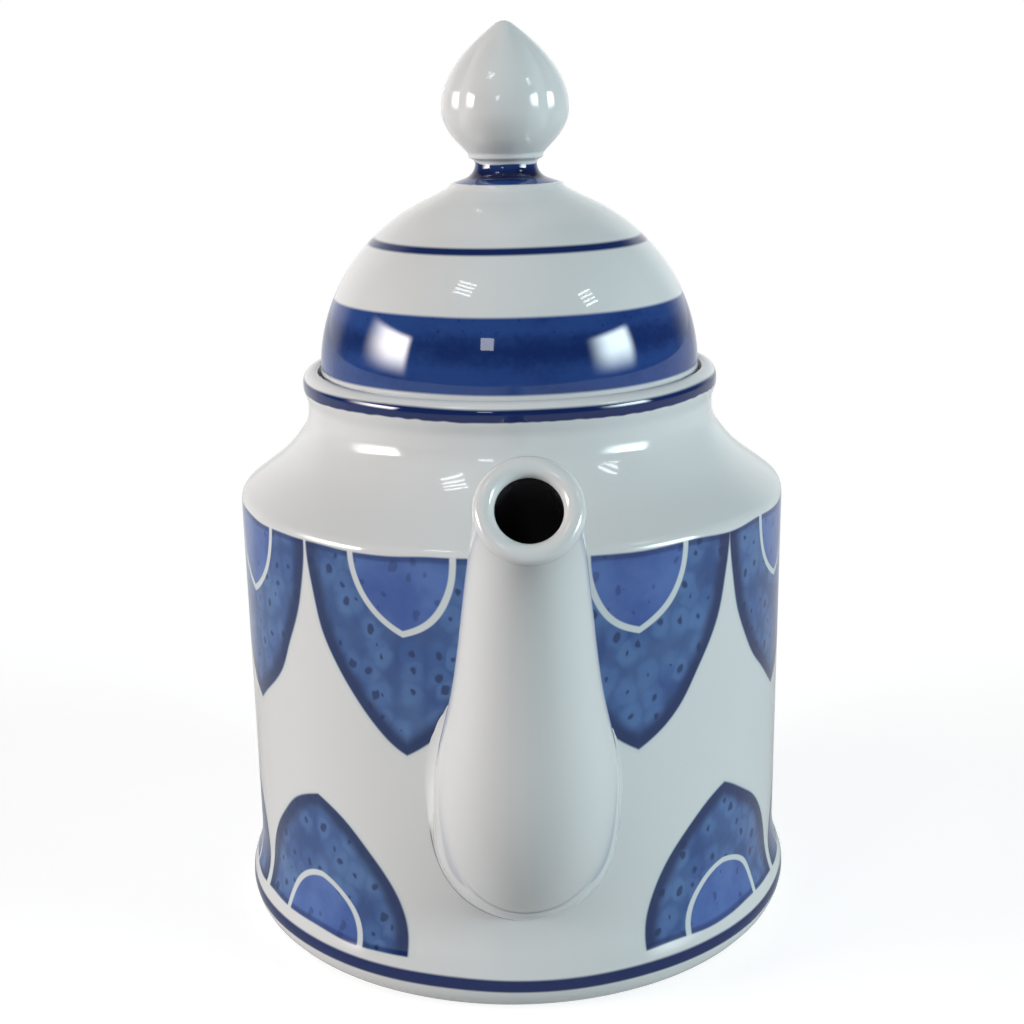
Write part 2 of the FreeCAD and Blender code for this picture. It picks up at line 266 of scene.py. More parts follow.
def clear_glaze(name):
    """White porcelain under a clear gloss glaze: faint clouding, a ripple, and gloss that varies a little.

    Returns the material, its node tree, its shader, the place on the piece in mm and the white."""
    material = bpy.data.materials.new(name)
    material.use_nodes = True
    tree = material.node_tree
    shader = tree.nodes["Principled BSDF"]
    shader.inputs["IOR"].default_value = GLAZE_IOR
    own_place = tree.nodes.new("ShaderNodeTexCoord").outputs["Object"]
    place = stretched(tree, own_place, (1 / MM, 1 / MM, 1 / MM))
    white = blend(tree, mottle(tree, place, CLAY_GRAIN), PORCELAIN_COOL, PORCELAIN_WARM)
    gloss = tree.nodes.new("ShaderNodeMapRange")
    feed(tree, gloss.inputs["Value"], mottle(tree, place, RIPPLE_GRAIN))
    feed(tree, gloss.inputs["To Min"], GLOSS_SMOOTHEST)
    feed(tree, gloss.inputs["To Max"], GLOSS_ROUGHEST)
    feed(tree, shader.inputs["Roughness"], gloss.outputs["Result"])
    ripple = tree.nodes.new("ShaderNodeBump")
    feed(tree, ripple.inputs["Strength"], RIPPLE_STRENGTH)
    feed(tree, ripple.inputs["Distance"], RIPPLE_DEPTH * MM)
    feed(tree, ripple.inputs["Height"], mottle(tree, place, RIPPLE_GRAIN, 0.0))
    feed(tree, shader.inputs["Normal"], ripple.outputs["Normal"])
    feed(tree, shader.inputs["Base Color"], white)
    return material, tree, shader, place, white


def dull_glaze(tree, shader, share, roughness):
    """Makes the gloss duller by a share from 0 to 1."""
    gloss = shader.inputs["Roughness"].links[0].from_socket
    dull = tree.nodes.new("ShaderNodeMix")
    feed(tree, dull.inputs[0], share)
    feed(tree, dull.inputs[2], gloss)
    feed(tree, dull.inputs[3], roughness)
    feed(tree, shader.inputs["Roughness"], dull.outputs[0])


def axis_parts(tree, place):
    """Distance from the pot's axis, height, and the angle round from the spout."""
    split = tree.nodes.new("ShaderNodeSeparateXYZ")
    feed(tree, split.inputs[0], place)
    across, depth, height = split.outputs
    square = maths(tree, "ADD", maths(tree, "POWER", across, 2), maths(tree, "POWER", depth, 2))
    radius = maths(tree, "SQRT", square)
    angle = maths(tree, "ARCTAN2", across, times(tree, depth, -1))
    return radius, height, angle


COBALT_LINE = (0.003, 0.018, 0.110, 1)
COBALT_DEEP = (0.012, 0.028, 0.108, 1)
COBALT_WASH = (0.040, 0.098, 0.290, 1)
COBALT_THIN = (0.085, 0.175, 0.390, 1)
COBALT_HEART = (0.085, 0.165, 0.440, 1)
COBALT_HEART_DEEP = (0.045, 0.100, 0.340, 1)
COBALT_BLEED = (0.520, 0.640, 0.665, 1)
PETALS = 8
PETAL_TOP = 96.4
HANGING_HALF_WIDTH = 23.2
HANGING_LENGTH = 41.0
HANGING_HEART_HALF_WIDTH = 11.0
HANGING_HEART_LENGTH = 16.0
PETAL_FOOT = 10.6
STANDING_HALF_WIDTH = 22.4
STANDING_LENGTH = 31.0
STANDING_HEART_HALF_WIDTH = 11.5
STANDING_HEART_LENGTH = 12.5
PETAL_RIM = 4.6
DOT_SPACING = 5.0
DOT_RADIUS = 0.75
DOT_SOFT_OUTSIDE = 0.45
DOT_SOFT_INSIDE = 0.1
DOT_SHARE = 0.8
DOT_HALO = (2.6, 1.3)
HALO_SHARE = 0.75
VEINS = (1.6, 3.6)
VEIN_SHARE = 0.30
WASH_GRAIN = 14.0
WASH_DETAIL = 8.0
WASH_POOL = (0.36, 0.66)
WASH_SQUEEZE = 0.85
WASH_RAGGED = (2.0, 0.3)
HEART_POOL = (0.35, 0.65)
HEART_DOT_SHARE = 0.45
RIM_SHARE = 0.92
ROOT_LINE = (1.6, 0.7)
ROOT_LINE_SHARE = 0.6
BLEED_REACH = 1.4
BLEED_SHARE = 0.4
PETAL_UNSTEADY = (15.0, 0.4)
PETAL_SOFTNESS = 0.3
HEART_SOFTNESS = 0.25
RESERVE_WIDTH = 1.3
RESERVE_SOFTNESS = 0.2
SPOUT_GAP = (0.48, 0.5)
OUTSIDE_FROM = 1.2
OUTSIDE_TO = 2.2
LINE_UNSTEADY = (30.0, 0.20)
LINE_SOFTNESS = 0.3
LIP_RAGGED = (2.5, 0.10)
LIP_RAGGED_SOFTNESS = 0.2
LIP_OUTSIDE_FROM = 1.3
LIP_OUTSIDE_TO = 1.9
BEAD_LINE_LOW = 5.7
BEAD_LINE_HIGH = 8.3
LIP_LINE_LOW = 119.75
LIP_LINE_HIGH = 122.3
BARE_RING_HEIGHT = 0.5
BISCUIT = (0.66, 0.62, 0.55, 1)
BISCUIT_ROUGHNESS = 0.75


def petal_edge(tree, aside, along, half_width, length):
    """Distance in mm from the edge of a pointed petal, below 0 inside it."""
    offset = (length ** 2 - half_width ** 2) / (2 * half_width)
    spread = maths(tree, "ADD", aside, offset)
    square = maths(tree, "ADD", maths(tree, "POWER", spread, 2), maths(tree, "POWER", along, 2))
    return maths(tree, "SUBTRACT", maths(tree, "SQRT", square), offset + half_width)


def brush_petals(tree, flat, under, wall, aside, along, petal, heart):
    """Paints a row of petals over a colour: a dark rim, a dotted wash, and a heart in a white line."""
    edge = petal_edge(tree, aside, along, *petal)
    heart_edge = petal_edge(tree, aside, along, *heart)
    pool = mottle(tree, flat, WASH_GRAIN, WASH_DETAIL)
    wash = blend(tree, fade(tree, pool, *WASH_POOL), COBALT_WASH, COBALT_THIN)
    dots = tree.nodes.new("ShaderNodeTexVoronoi")
    dots.voronoi_dimensions = "2D"
    feed(tree, dots.inputs["Vector"], flat)
    feed(tree, dots.inputs["Scale"], 1 / DOT_SPACING)
    from_dot = times(tree, dots.outputs["Distance"], DOT_SPACING)
    chance = tree.nodes.new("ShaderNodeSeparateColor")
    feed(tree, chance.inputs[0], dots.outputs["Color"])
    size = times(tree, chance.outputs[0], DOT_RADIUS)
    halo = times(tree, fade(tree, from_dot, *DOT_HALO), chance.outputs[1])
    wash = blend(tree, times(tree, halo, HALO_SHARE), wash, COBALT_THIN)
    veins = times(tree, fade(tree, from_dot, *VEINS), VEIN_SHARE)
    wash = blend(tree, veins, wash, COBALT_DEEP)
    dot_outside = maths(tree, "ADD", size, DOT_SOFT_OUTSIDE)
    dot = fade(tree, from_dot, dot_outside, maths(tree, "SUBTRACT", size, DOT_SOFT_INSIDE))
    wash = blend(tree, times(tree, dot, DOT_SHARE), wash, COBALT_DEEP)
    rim = fade(tree, edge, -PETAL_RIM, -PETAL_RIM / 3)
    paint = blend(tree, times(tree, rim, RIM_SHARE), wash, COBALT_DEEP)
    heart_wash = blend(tree, fade(tree, pool, *HEART_POOL), COBALT_HEART_DEEP, COBALT_HEART)
    heart_wash = blend(tree, times(tree, dot, HEART_DOT_SHARE), heart_wash, COBALT_DEEP)
    paint = blend(tree, fade(tree, heart_edge, HEART_SOFTNESS, -HEART_SOFTNESS), paint, heart_wash)
    root = times(tree, fade(tree, along, *ROOT_LINE), ROOT_LINE_SHARE)
    paint = blend(tree, root, paint, COBALT_LINE)
    from_line = maths(tree, "ABSOLUTE", heart_edge)
    half_reserve = RESERVE_WIDTH / 2
    bare = fade(tree, from_line, half_reserve + RESERVE_SOFTNESS, half_reserve - RESERVE_SOFTNESS)
    rooted = times(tree, fade(tree, along, -HEART_SOFTNESS, HEART_SOFTNESS), wall)
    inside = fade(tree, edge, PETAL_SOFTNESS, -PETAL_SOFTNESS)
    cover = times(tree, inside, maths(tree, "SUBTRACT", 1.0, bare))
    bleed = times(tree, rooted, BLEED_SHARE)
    bleed = times(tree, fade(tree, edge, BLEED_REACH, 0.0), bleed)
    haloed = blend(tree, bleed, under, COBALT_BLEED)
    return blend(tree, times(tree, cover, rooted), haloed, paint)


def painted_pot_glaze():
    """The pot's glaze over its painting: petals hang from the shoulder and stand between them on the foot.

    None stands under the spout. A cobalt line runs round the bead and another round the lip."""
    material, tree, shader, place, white = clear_glaze("painted_pot_glaze")
    radius, height, angle = axis_parts(tree, place)
    unsteady = wander(tree, place, *PETAL_UNSTEADY)
    sector = 2 * math.pi / PETALS
    turn = maths(tree, "DIVIDE", angle, sector)
    from_foot = times(tree, maths(tree, "PINGPONG", turn, 0.5), sector * WALL_RADIUS)
    from_top = maths(tree, "SUBTRACT", sector * WALL_RADIUS / 2, from_foot)
    flat = tree.nodes.new("ShaderNodeCombineXYZ")
    ragged = wander(tree, place, *WASH_RAGGED)
    feed(tree, flat.inputs[0], maths(tree, "ADD", times(tree, angle, WALL_RADIUS), ragged))
    feed(tree, flat.inputs[1], maths(tree, "ADD", times(tree, height, WASH_SQUEEZE), ragged))
    flat = flat.outputs[0]
    wall = fade(tree, radius, INNER_WALL + OUTSIDE_FROM, INNER_WALL + OUTSIDE_TO)
    down = maths(tree, "ADD", maths(tree, "SUBTRACT", PETAL_TOP, height), unsteady)
    up = maths(tree, "ADD", maths(tree, "SUBTRACT", height, PETAL_FOOT), unsteady)
    hanging = (HANGING_HALF_WIDTH, HANGING_LENGTH)
    hanging_heart = (HANGING_HEART_HALF_WIDTH, HANGING_HEART_LENGTH)
    standing = (STANDING_HALF_WIDTH, STANDING_LENGTH)
    standing_heart = (STANDING_HEART_HALF_WIDTH, STANDING_HEART_LENGTH)
    aside = maths(tree, "ADD", from_top, unsteady)
    colour = brush_petals(tree, flat, white, wall, aside, down, hanging, hanging_heart)
    aside = maths(tree, "ADD", from_foot, unsteady)
    beside_spout = fade(tree, maths(tree, "ABSOLUTE", turn), *SPOUT_GAP)
    painted = times(tree, wall, beside_spout)
    colour = brush_petals(tree, flat, colour, painted, aside, up, standing, standing_heart)
    stroke = maths(tree, "ADD", height, wander(tree, place, *LINE_UNSTEADY))
    bead = between(tree, stroke, BEAD_LINE_LOW, BEAD_LINE_HIGH, LINE_SOFTNESS)
    bead = times(tree, bead, wall)
    lip_outside = fade(tree, radius, GALLERY_RADIUS + LIP_OUTSIDE_FROM, GALLERY_RADIUS + LIP_OUTSIDE_TO)
    ragged = maths(tree, "ADD", stroke, wander(tree, place, *LIP_RAGGED))
    above_edge = fade(tree, ragged, LIP_LINE_LOW - LIP_RAGGED_SOFTNESS, LIP_LINE_LOW + LIP_RAGGED_SOFTNESS)
    below_edge = fade(tree, stroke, LIP_LINE_HIGH + LINE_SOFTNESS, LIP_LINE_HIGH - LINE_SOFTNESS)
    lip = times(tree, times(tree, above_edge, below_edge), lip_outside)
    colour = blend(tree, maths(tree, "MAXIMUM", bead, lip), colour, COBALT_LINE)
    bare = fade(tree, height, BARE_RING_HEIGHT, BARE_RING_HEIGHT / 2)
    colour = blend(tree, bare, colour, BISCUIT)
    feed(tree, shader.inputs["Base Color"], colour)
    dull_glaze(tree, shader, bare, BISCUIT_ROUGHNESS)
    return material


pot_clay = bmesh.new()
draw_section(pot_clay, [
    (0, FOOT_WELL, 0),
    (WELL_RADIUS, FOOT_WELL, WELL_ROUND),
    (RING_INSIDE, 0, EDGE_ROUND),
    (BEAD_CORNER, 0, BEAD_ROUND),
    (WALL_RADIUS, COVE_HEIGHT, COVE_ROUND),
    (WALL_RADIUS, SHOULDER_HEIGHT, SHOULDER_ROUND),
    (HOLLOW_RADIUS, HOLLOW_HEIGHT, HOLLOW_ROUND),
    (NECK_RADIUS, NECK_BASE, NECK_ROUND),
    (NECK_RADIUS, LIP_FLARE, FLARE_ROUND),
    (LIP_RADIUS, LIP_SIDE, FLARE_ROUND),
    (LIP_RADIUS, lip_top, LIP_ROUND),
    (GALLERY_RADIUS, lip_top, EDGE_ROUND),
    (GALLERY_RADIUS, seat_height, GALLERY_ROUND),
    (MOUTH_RADIUS, seat_height, EDGE_ROUND),
    (MOUTH_RADIUS, seat_height - LEDGE_THICKNESS, EDGE_ROUND),
    (INNER_NECK, INNER_NECK_BASE, INNER_ROUND),
    (INNER_WALL, INNER_SHOULDER, INNER_ROUND),
    (INNER_WALL, FLOOR_TOP, FLOOR_ROUND),
    (0, FLOOR_TOP, 0),
])
turn_section(pot_clay, POT_STEPS)
painted_pot = fired_piece("painted_pot", pot_clay, painted_pot_glaze())

STRAINER_HEIGHT = 42.6
STRAINER_PITCH = 9.0
STRAINER_HOLE = 3.0
STRAINER_SIDES = 32
STRAINER_BORE = 20
strainer_borer = bmesh.new()
strainer_places = [Vector((0, 0))]
for sixth in range(6):
    strainer_places.append(Matrix.Rotation(sixth * math.pi / 3, 2) @ Vector((STRAINER_PITCH, 0)))
for hole in strainer_places:
    lie_down = Matrix.Rotation(math.pi / 2, 4, "X")
    bmesh.ops.create_cone(
        strainer_borer,
        cap_ends=True,
        segments=STRAINER_SIDES,
        radius1=STRAINER_HOLE,
        radius2=STRAINER_HOLE,
        depth=STRAINER_BORE,
        matrix=Matrix.Translation((hole.x, -WALL_RADIUS, STRAINER_HEIGHT + hole.y)) @ lie_down,
    )
pierce(painted_pot, strainer_borer)
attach(painted_pot, "pot")
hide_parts("pot_body")

# Spout: a hollow porcelain tube that tapers along a gentle S to a rounded lip. It is cast apart and
# luted over the strainer: slip is wiped up its upper side, and below it meets the wall in a fine
# groove. White glaze, unpainted; the bore is painted dark grey as shade, and the groove has a line
# of painted shade with some dirt.
SPOUT_AROUND = 112
SPOUT_ALONG = 40
FILLET_STEPS = 16
LIP_STEPS = 14
SPOUT_LINE = (
    Vector((0, -WALL_RADIUS, STRAINER_HEIGHT)),
    Vector((0, -90.0, 58.6)),
    Vector((0, -82.2, 103.75)),
    Vector((0, -105.7, 119.0)),
)
SPOUT_ROOT_SIZE = 37.4
SPOUT_TIP_SIZE = 16.8
SPOUT_TAPER = 1.15
SPOUT_BELLY = 0.15
SPOUT_BELLY_PLACE = 0.30
SPOUT_BELLY_REACH = 0.15
SPOUT_STRAIGHT = 0.05
SPOUT_STRAIGHT_EASE = 0.08
ROOT_FULLNESS = 1.2
ROOT_FULL_TO = 0.35
ROOT_FULL_SIDES = (-0.4, 1.0)
ROOT_SEARCH = (-0.4, 0.6)
HALVINGS = 30
SPOUT_OUTSIDE_END = 0.985
BORE_START = 0.97
SPOUT_WALL = 2.8
SPOUT_LIP_RADIUS = 7.2
SPOUT_LIP_ROUND = 1.75
LIP_TURN_START = -35
LIP_TURN = 250
SPOUT_LENGTH = 95.0
SPOUT_SLIP = 11.5
SPOUT_SLIP_RISE = 14.0
SPOUT_SLIP_POWER = 1.5
SPOUT_SLIP_EASE = 0.3
SPOUT_SLIP_SIDES = (-0.5, 0.8)
SPOUT_EDGE_RISE = 1.2
CONTACT_SINK = 0.03
SLIP_FOLLOW = 0.05
SLIP_PULL = 0.6
SLIP_SLOPE = 0.05
# Dark grey painted over the bore's glaze as the shade deep in the tube.
BORE_PAINTED_SHADE = (0.085, 0.078, 0.084, 1)
# A dark line along the lower edge of the root: painted shade in the groove, with some dirt.
GROOVE_DIRT_AND_SHADE = (0.090, 0.085, 0.085, 1)
GROOVE_RINGS = 10
GROOVE_WIDTH = 0.4
GROOVE_SIDES = (-0.05, 0.15)
BORE_SHADE_START = 3.2
BORE_SHADE_FULL = 0.8


def along_bezier(poles, along):
    """The point and the heading at a share of the way along a curve with four poles."""
    first = [a.lerp(b, along) for a, b in zip(poles, poles[1:])]
    second = [a.lerp(b, along) for a, b in zip(first, first[1:])]
    return second[0].lerp(second[1], along), (second[1] - second[0]).normalized()


def smooth_share(value, low, high):
    """A soft step from 0 at the low value to 1 at the high one."""
    share = min(max((value - low) / (high - low), 0.0), 1.0)
    return share * share * (3 - 2 * share)


def swelling(value, place, reach):
    """A soft swelling: 1 at its place and near 0 at twice its reach to either side."""
    return math.exp(-((value - place) / reach) ** 2)


def spout_surface(along, around, inset=0.0):
    """A place on the spout's outside, or on its bore by an inset; below 0 it runs on into the wall.

    The tube is almost straight at its root, where its lower half is fuller, and then has a belly."""
    middle, heading = along_bezier(SPOUT_LINE, max(along, 0.0))
    middle = middle + heading * min(along, 0.0) * SPOUT_LENGTH
    past = along - SPOUT_STRAIGHT
    eased = SPOUT_STRAIGHT + (past + math.hypot(past, SPOUT_STRAIGHT_EASE)) / 2
    taper = (1 - min(eased, 1.0)) ** SPOUT_TAPER
    taper += SPOUT_BELLY * swelling(along, SPOUT_BELLY_PLACE, SPOUT_BELLY_REACH)
    size = SPOUT_TIP_SIZE + (SPOUT_ROOT_SIZE - SPOUT_TIP_SIZE) * taper
    fullness = ROOT_FULLNESS * (1 - smooth_share(along, 0.0, ROOT_FULL_TO))
    fullness *= smooth_share(-math.sin(around), *ROOT_FULL_SIDES)
    upward = Vector((0, heading.z, -heading.y))
    radius = size / 2 - inset + fullness
    return middle + Vector((math.cos(around) * radius, 0, 0)) + upward * math.sin(around) * radius


def reach_wall(surface, around, inside, outside):
    """How far along a luted piece its surface comes out of the pot's wall, at one angle round it."""
    for halving in range(HALVINGS):
        middle = (inside + outside) / 2
        place = surface(middle, around)
        if math.hypot(place.x, place.y) < WALL_RADIUS:
            inside = middle
        else:
            outside = middle
    return outside


def on_wall(corner, centre_height, spread):
    """A place on the wall, a little below its face, a spread further out from the root's middle."""
    side = math.copysign(1, corner.y)
    run = math.atan2(corner.x, side * corner.y) * WALL_RADIUS
    outward = Vector((run, corner.z - centre_height)).normalized() * spread
    turn = (run + outward.x) / WALL_RADIUS
    radius = WALL_RADIUS - CONTACT_SINK
    return Vector((math.sin(turn) * radius, side * math.cos(turn) * radius, corner.z + outward.y))


def slip_fillet(lead, follow, corner, foot, share):
    """A place on the slip between a piece and the wall: it leaves along the piece and thins to an edge."""
    leaving = (follow - lead).normalized() * (corner - lead).length
    slope = corner.lerp(lead, SLIP_SLOPE)
    return along_bezier((lead, lead + leaving * SLIP_PULL, foot.lerp(slope, SLIP_PULL), foot), share)[0]


def spout_root(around):
    """Where the spout meets the wall and where its slip starts, along it, and the slip's spread."""
    meeting = reach_wall(spout_surface, around, *ROOT_SEARCH)
    height = math.sin(around)
    wiped = ((height + math.hypot(height, SPOUT_SLIP_EASE)) / 2) ** SPOUT_SLIP_POWER
    upper = smooth_share(height, *SPOUT_SLIP_SIDES)
    rise = SPOUT_EDGE_RISE + (SPOUT_SLIP_RISE - SPOUT_EDGE_RISE) * upper
    return meeting, meeting + rise / SPOUT_LENGTH, GROOVE_WIDTH + SPOUT_SLIP * wiped


def spout_fillet(share, around):
    """The slip round the spout's root, from the tube at 0 to the wall at 1."""
    meeting, start, spread = spout_root(around)
    corner = spout_surface(meeting, around)
    foot = on_wall(corner, STRAINER_HEIGHT, spread)
    follow = spout_surface(start + (meeting - start) * SLIP_FOLLOW, around)
    return slip_fillet(spout_surface(start, around), follow, corner, foot, share)


def spout_outside(share, around):
    """The spout's outside from the slip at 0 to just behind the lip at 1."""
    start = spout_root(around)[1]
    return spout_surface(start + (SPOUT_OUTSIDE_END - start) * share, around)


def spout_lip(turn, around):
    """The rounded lip, from its outside at a turn of 0 over its front to the bore at pi."""
    middle, heading = along_bezier(SPOUT_LINE, 1.0)
    radius = SPOUT_LIP_RADIUS + SPOUT_LIP_ROUND * math.cos(turn)
    upward = Vector((0, heading.z, -heading.y))
    ring = Vector((math.cos(around) * radius, 0, 0)) + upward * math.sin(around) * radius
    return middle + ring + heading * SPOUT_LIP_ROUND * math.sin(turn)


def spout_bore(share, around):
    """The bore, from behind the lip at 0 to the wall at 1."""
    def bore_surface(along, angle):
        return spout_surface(along, angle, SPOUT_WALL)

    root = reach_wall(bore_surface, around, *ROOT_SEARCH)
    return bore_surface(BORE_START + (root - BORE_START) * share, around)


def loft_rings(clay, rings, segments):
    """Extrudes a ring of vertices from one ring to the next, each given by its place at an angle.

    Each vertex keeps its angle and its ring's number. The last ring is numbered as the first."""
    around = clay.verts.layers.float.new("around")
    ring_number = clay.verts.layers.float.new("ring")
    ring_verts = bmesh.ops.create_circle(clay, segments=segments, radius=1)["verts"]
    ring_edges = clay.edges[:]
    for vert in ring_verts:
        vert[around] = math.atan2(vert.co.y, vert.co.x)
    for number, ring in enumerate(rings):
        if number:
            grown = bmesh.ops.extrude_edge_only(clay, edges=ring_edges)["geom"]
            ring_verts = [part for part in grown if isinstance(part, bmesh.types.BMVert)]
            new_verts = set(ring_verts)
            edges = [part for part in grown if isinstance(part, bmesh.types.BMEdge)]
            ring_edges = [edge for edge in edges if new_verts.issuperset(edge.verts)]
        for vert in ring_verts:
            vert.co = ring(vert[around])
            vert[ring_number] = number % (len(rings) - 1)


def shares(steps):
    """Even shares from 0 to 1."""
    return [step / steps for step in range(steps + 1)]


def spout_glaze(bore_ring):
    """White glaze, painted dark grey in the bore as shade, with painted shade and some dirt in the root's
    groove.
    """
    material, tree, shader, place, white = clear_glaze("spout_glaze")
    ring = tree.nodes.new("ShaderNodeAttribute")
    ring.attribute_name = "ring"
    # The bore, from the inner edge of the lip down, is painted dark grey as shade.
    bore_shade = fade(tree, ring.outputs["Fac"], bore_ring - BORE_SHADE_START, bore_ring - BORE_SHADE_FULL)
    groove = tree.nodes.new("ShaderNodeAttribute")
    groove.attribute_name = "groove"
    # Painted shade with some dirt along the groove, on the attribute that mark_groove sets.
    colour = blend(tree, groove.outputs["Fac"], white, GROOVE_DIRT_AND_SHADE)
    feed(tree, shader.inputs["Base Color"], blend(tree, bore_shade, colour, BORE_PAINTED_SHADE))
    return material


def mark_groove(clay):
    """Marks the edge of the spout's root, along its lower half, where dirt settles and shade is painted."""
    groove = clay.verts.layers.float.new("groove")
    around = clay.verts.layers.float["around"]
    ring = clay.verts.layers.float["ring"]
    for vert in clay.verts:
        low = smooth_share(-math.sin(vert[around]), *GROOVE_SIDES)
        vert[groove] = low * smooth_share(GROOVE_RINGS - vert[ring], 0, GROOVE_RINGS - 1)


spout_rings = []
for share in reversed(shares(FILLET_STEPS)):
    spout_rings.append(lambda around, share=share: spout_fillet(share, around))
for share in shares(SPOUT_ALONG)[1:]:
    spout_rings.append(lambda around, share=share: spout_outside(share, around))
for share in shares(LIP_STEPS):
    turn = math.radians(LIP_TURN_START + LIP_TURN * share)
    spout_rings.append(lambda around, turn=turn: spout_lip(turn, around))
bore_ring = len(spout_rings)
for share in shares(SPOUT_ALONG):
    spout_rings.append(lambda around, share=share: spout_bore(share, around))
spout_rings.append(lambda around: spout_fillet(1.0, around))
spout_clay = bmesh.new()
loft_rings(spout_clay, spout_rings, SPOUT_AROUND)
mark_groove(spout_clay)
bmesh.ops.remove_doubles(spout_clay, verts=spout_clay.verts, dist=MERGE_DISTANCE)
bmesh.ops.recalc_face_normals(spout_clay, faces=spout_clay.faces)
white_spout = fired_piece("white_spout", spout_clay, spout_glaze(bore_ring))
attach(white_spout, "pot")
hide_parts("spout")

# Handle: an ear-shaped loop of oval porcelain, cast apart and luted to the wall opposite the spout.
# It is thicker at both roots, with slip wiped round them. White glaze, unpainted.
HANDLE_AROUND = 72
HANDLE_ALONG = 40
HANDLE_ROOT = 56
HANDLE_REACH = 106.95
HANDLE_BEND = Vector((0, HANDLE_REACH, 70))
HANDLE_UPPER = (
    Vector((0, HANDLE_ROOT, 86)),
    Vector((0, 79.6, 97)),
    Vector((0, HANDLE_REACH, 95)),
    HANDLE_BEND,
)
HANDLE_LOWER = (
    HANDLE_BEND,
    Vector((0, HANDLE_REACH, 45)),
    Vector((0, 81.1, 39.7)),
    Vector((0, HANDLE_ROOT, 33)),
)
HANDLE_WIDTH = 14.0
HANDLE_THICKNESS = 9.5
HANDLE_TOP_WIDTH = 18.0
HANDLE_TOP_THICKNESS = 12.5
HANDLE_LOW_WIDTH = 16.0
HANDLE_LOW_THICKNESS = 11.0
HANDLE_FILLET = 2.0
HANDLE_FILLET_RISE = 0.10


def handle_surface(along, around):
    """A place on the handle, from its upper root at 0 over the outer bend at 1 to its lower root at 2."""
    if along < 1:
        middle, heading = along_bezier(HANDLE_UPPER, along)
        root_width, root_thickness = HANDLE_TOP_WIDTH, HANDLE_TOP_THICKNESS
    else:
        middle, heading = along_bezier(HANDLE_LOWER, along - 1)
        root_width, root_thickness = HANDLE_LOW_WIDTH, HANDLE_LOW_THICKNESS
    swell = (1 - along) ** 2
    width = HANDLE_WIDTH + (root_width - HANDLE_WIDTH) * swell
    thickness = HANDLE_THICKNESS + (root_thickness - HANDLE_THICKNESS) * swell
    outward = Vector((0, heading.z, -heading.y))
    across = Vector((math.cos(around) * width / 2, 0, 0))
    return middle + across + outward * math.sin(around) * thickness / 2


def handle_fillet(inside, share, around):
    """The slip round one root, from the loop at 0 to the wall at 1; inside is 0 above and 2 below."""
    ahead = 1 - inside
    meeting = reach_wall(handle_surface, around, inside, 1)
    start = meeting + HANDLE_FILLET_RISE * ahead
    lead = handle_surface(start, around)
    follow = handle_surface(start + (meeting - start) * SLIP_FOLLOW, around)
    corner = handle_surface(meeting, around)
    root_height = along_bezier(HANDLE_UPPER if inside == 0 else HANDLE_LOWER, inside / 2)[0].z
    return slip_fillet(lead, follow, corner, on_wall(corner, root_height, HANDLE_FILLET), share)


def handle_loop(share, around):
    """The loop between its two slip fillets."""
    start = reach_wall(handle_surface, around, 0, 1) + HANDLE_FILLET_RISE
    end = reach_wall(handle_surface, around, 2, 1) - HANDLE_FILLET_RISE
    return handle_surface(start + (end - start) * share, around)


handle_rings = []
for share in reversed(shares(FILLET_STEPS)):
    handle_rings.append(lambda around, share=share: handle_fillet(0, share, around))
for share in shares(2 * HANDLE_ALONG)[1:-1]:
    handle_rings.append(lambda around, share=share: handle_loop(share, around))
for share in shares(FILLET_STEPS):
    handle_rings.append(lambda around, share=share: handle_fillet(2, share, around))
handle_clay = bmesh.new()
loft_rings(handle_clay, handle_rings, HANDLE_AROUND)
bmesh.ops.holes_fill(handle_clay, edges=handle_clay.edges)
bmesh.ops.recalc_face_normals(handle_clay, faces=handle_clay.faces)
white_handle = fired_piece("white_handle", handle_clay, clear_glaze("handle_glaze")[0])
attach(white_handle, "pot")
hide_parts("handle")

# Lid: a hollow porcelain dome on a flat seat that lies in the gallery, with a flange that hangs in
# the mouth and a steam vent at the back. A thin and a broad cobalt band are brushed on as it turns.
LID_STEPS = 160
DOME_STEPS = 48
LID_RADIUS = 41.3
LID_RIM_HEIGHT = 2.0
DOME_RISE = 39.8
LID_WALL = 3.5
FLANGE_RADIUS = 35.6
FLANGE_INSIDE = 32.6
FLANGE_DEPTH = 10.0
FLANGE_ROUND = 1.0
VENT_RADIUS = 1.3
VENT_FROM_AXIS = 24.0
VENT_SIDES = 24
VENT_BORE = 30
BAND_LOW = 124.3
BAND_HIGH = 139.1
THIN_LINE_LOW = 150.2
THIN_LINE_HIGH = 151.5
BAND_DARK = (0.004, 0.022, 0.125, 1)
BAND_LIGHT = (0.019, 0.061, 0.240, 1)
BAND_CORE = 132.8
BAND_SOFTNESS = 0.35
BAND_UNSTEADY = (40.0, 0.16)
STREAK_STRETCH = (0.12, 0.12, 1.2)
STREAK_GRAIN = 2.4
STREAK_DETAIL = 4.0
STREAK_WEIGHT = 0.5
POOL_STRETCH = (0.5, 0.5, 1)
POOL_GRAIN = 7.0
POOL_DETAIL = 5.0
POOL_WEIGHT = 1.1
FINE_GRAIN = 1.3
FINE_WEIGHT = 0.4
CORE_FADE = (0.3, 4.5)
CORE_WEIGHT = 0.55
BAND_THIN = (0.85, 1.7)
SPECK_SPACING = 1.7
SPECK_SIZE = (0.24, 0.10)
SPECK_SHARE = 0.6
SPECK_RISE = 3
DOME_SHELL = (0.90, 0.94)
dome_base = seat_height + LID_RIM_HEIGHT


def dome_corners(radius, base, rise):
    """Corners of a round dome from its rim up to the axis."""
    quarter = [share * math.pi / 2 for share in shares(DOME_STEPS)]
    return [(radius * math.cos(turn), base + rise * math.sin(turn), 0) for turn in quarter]


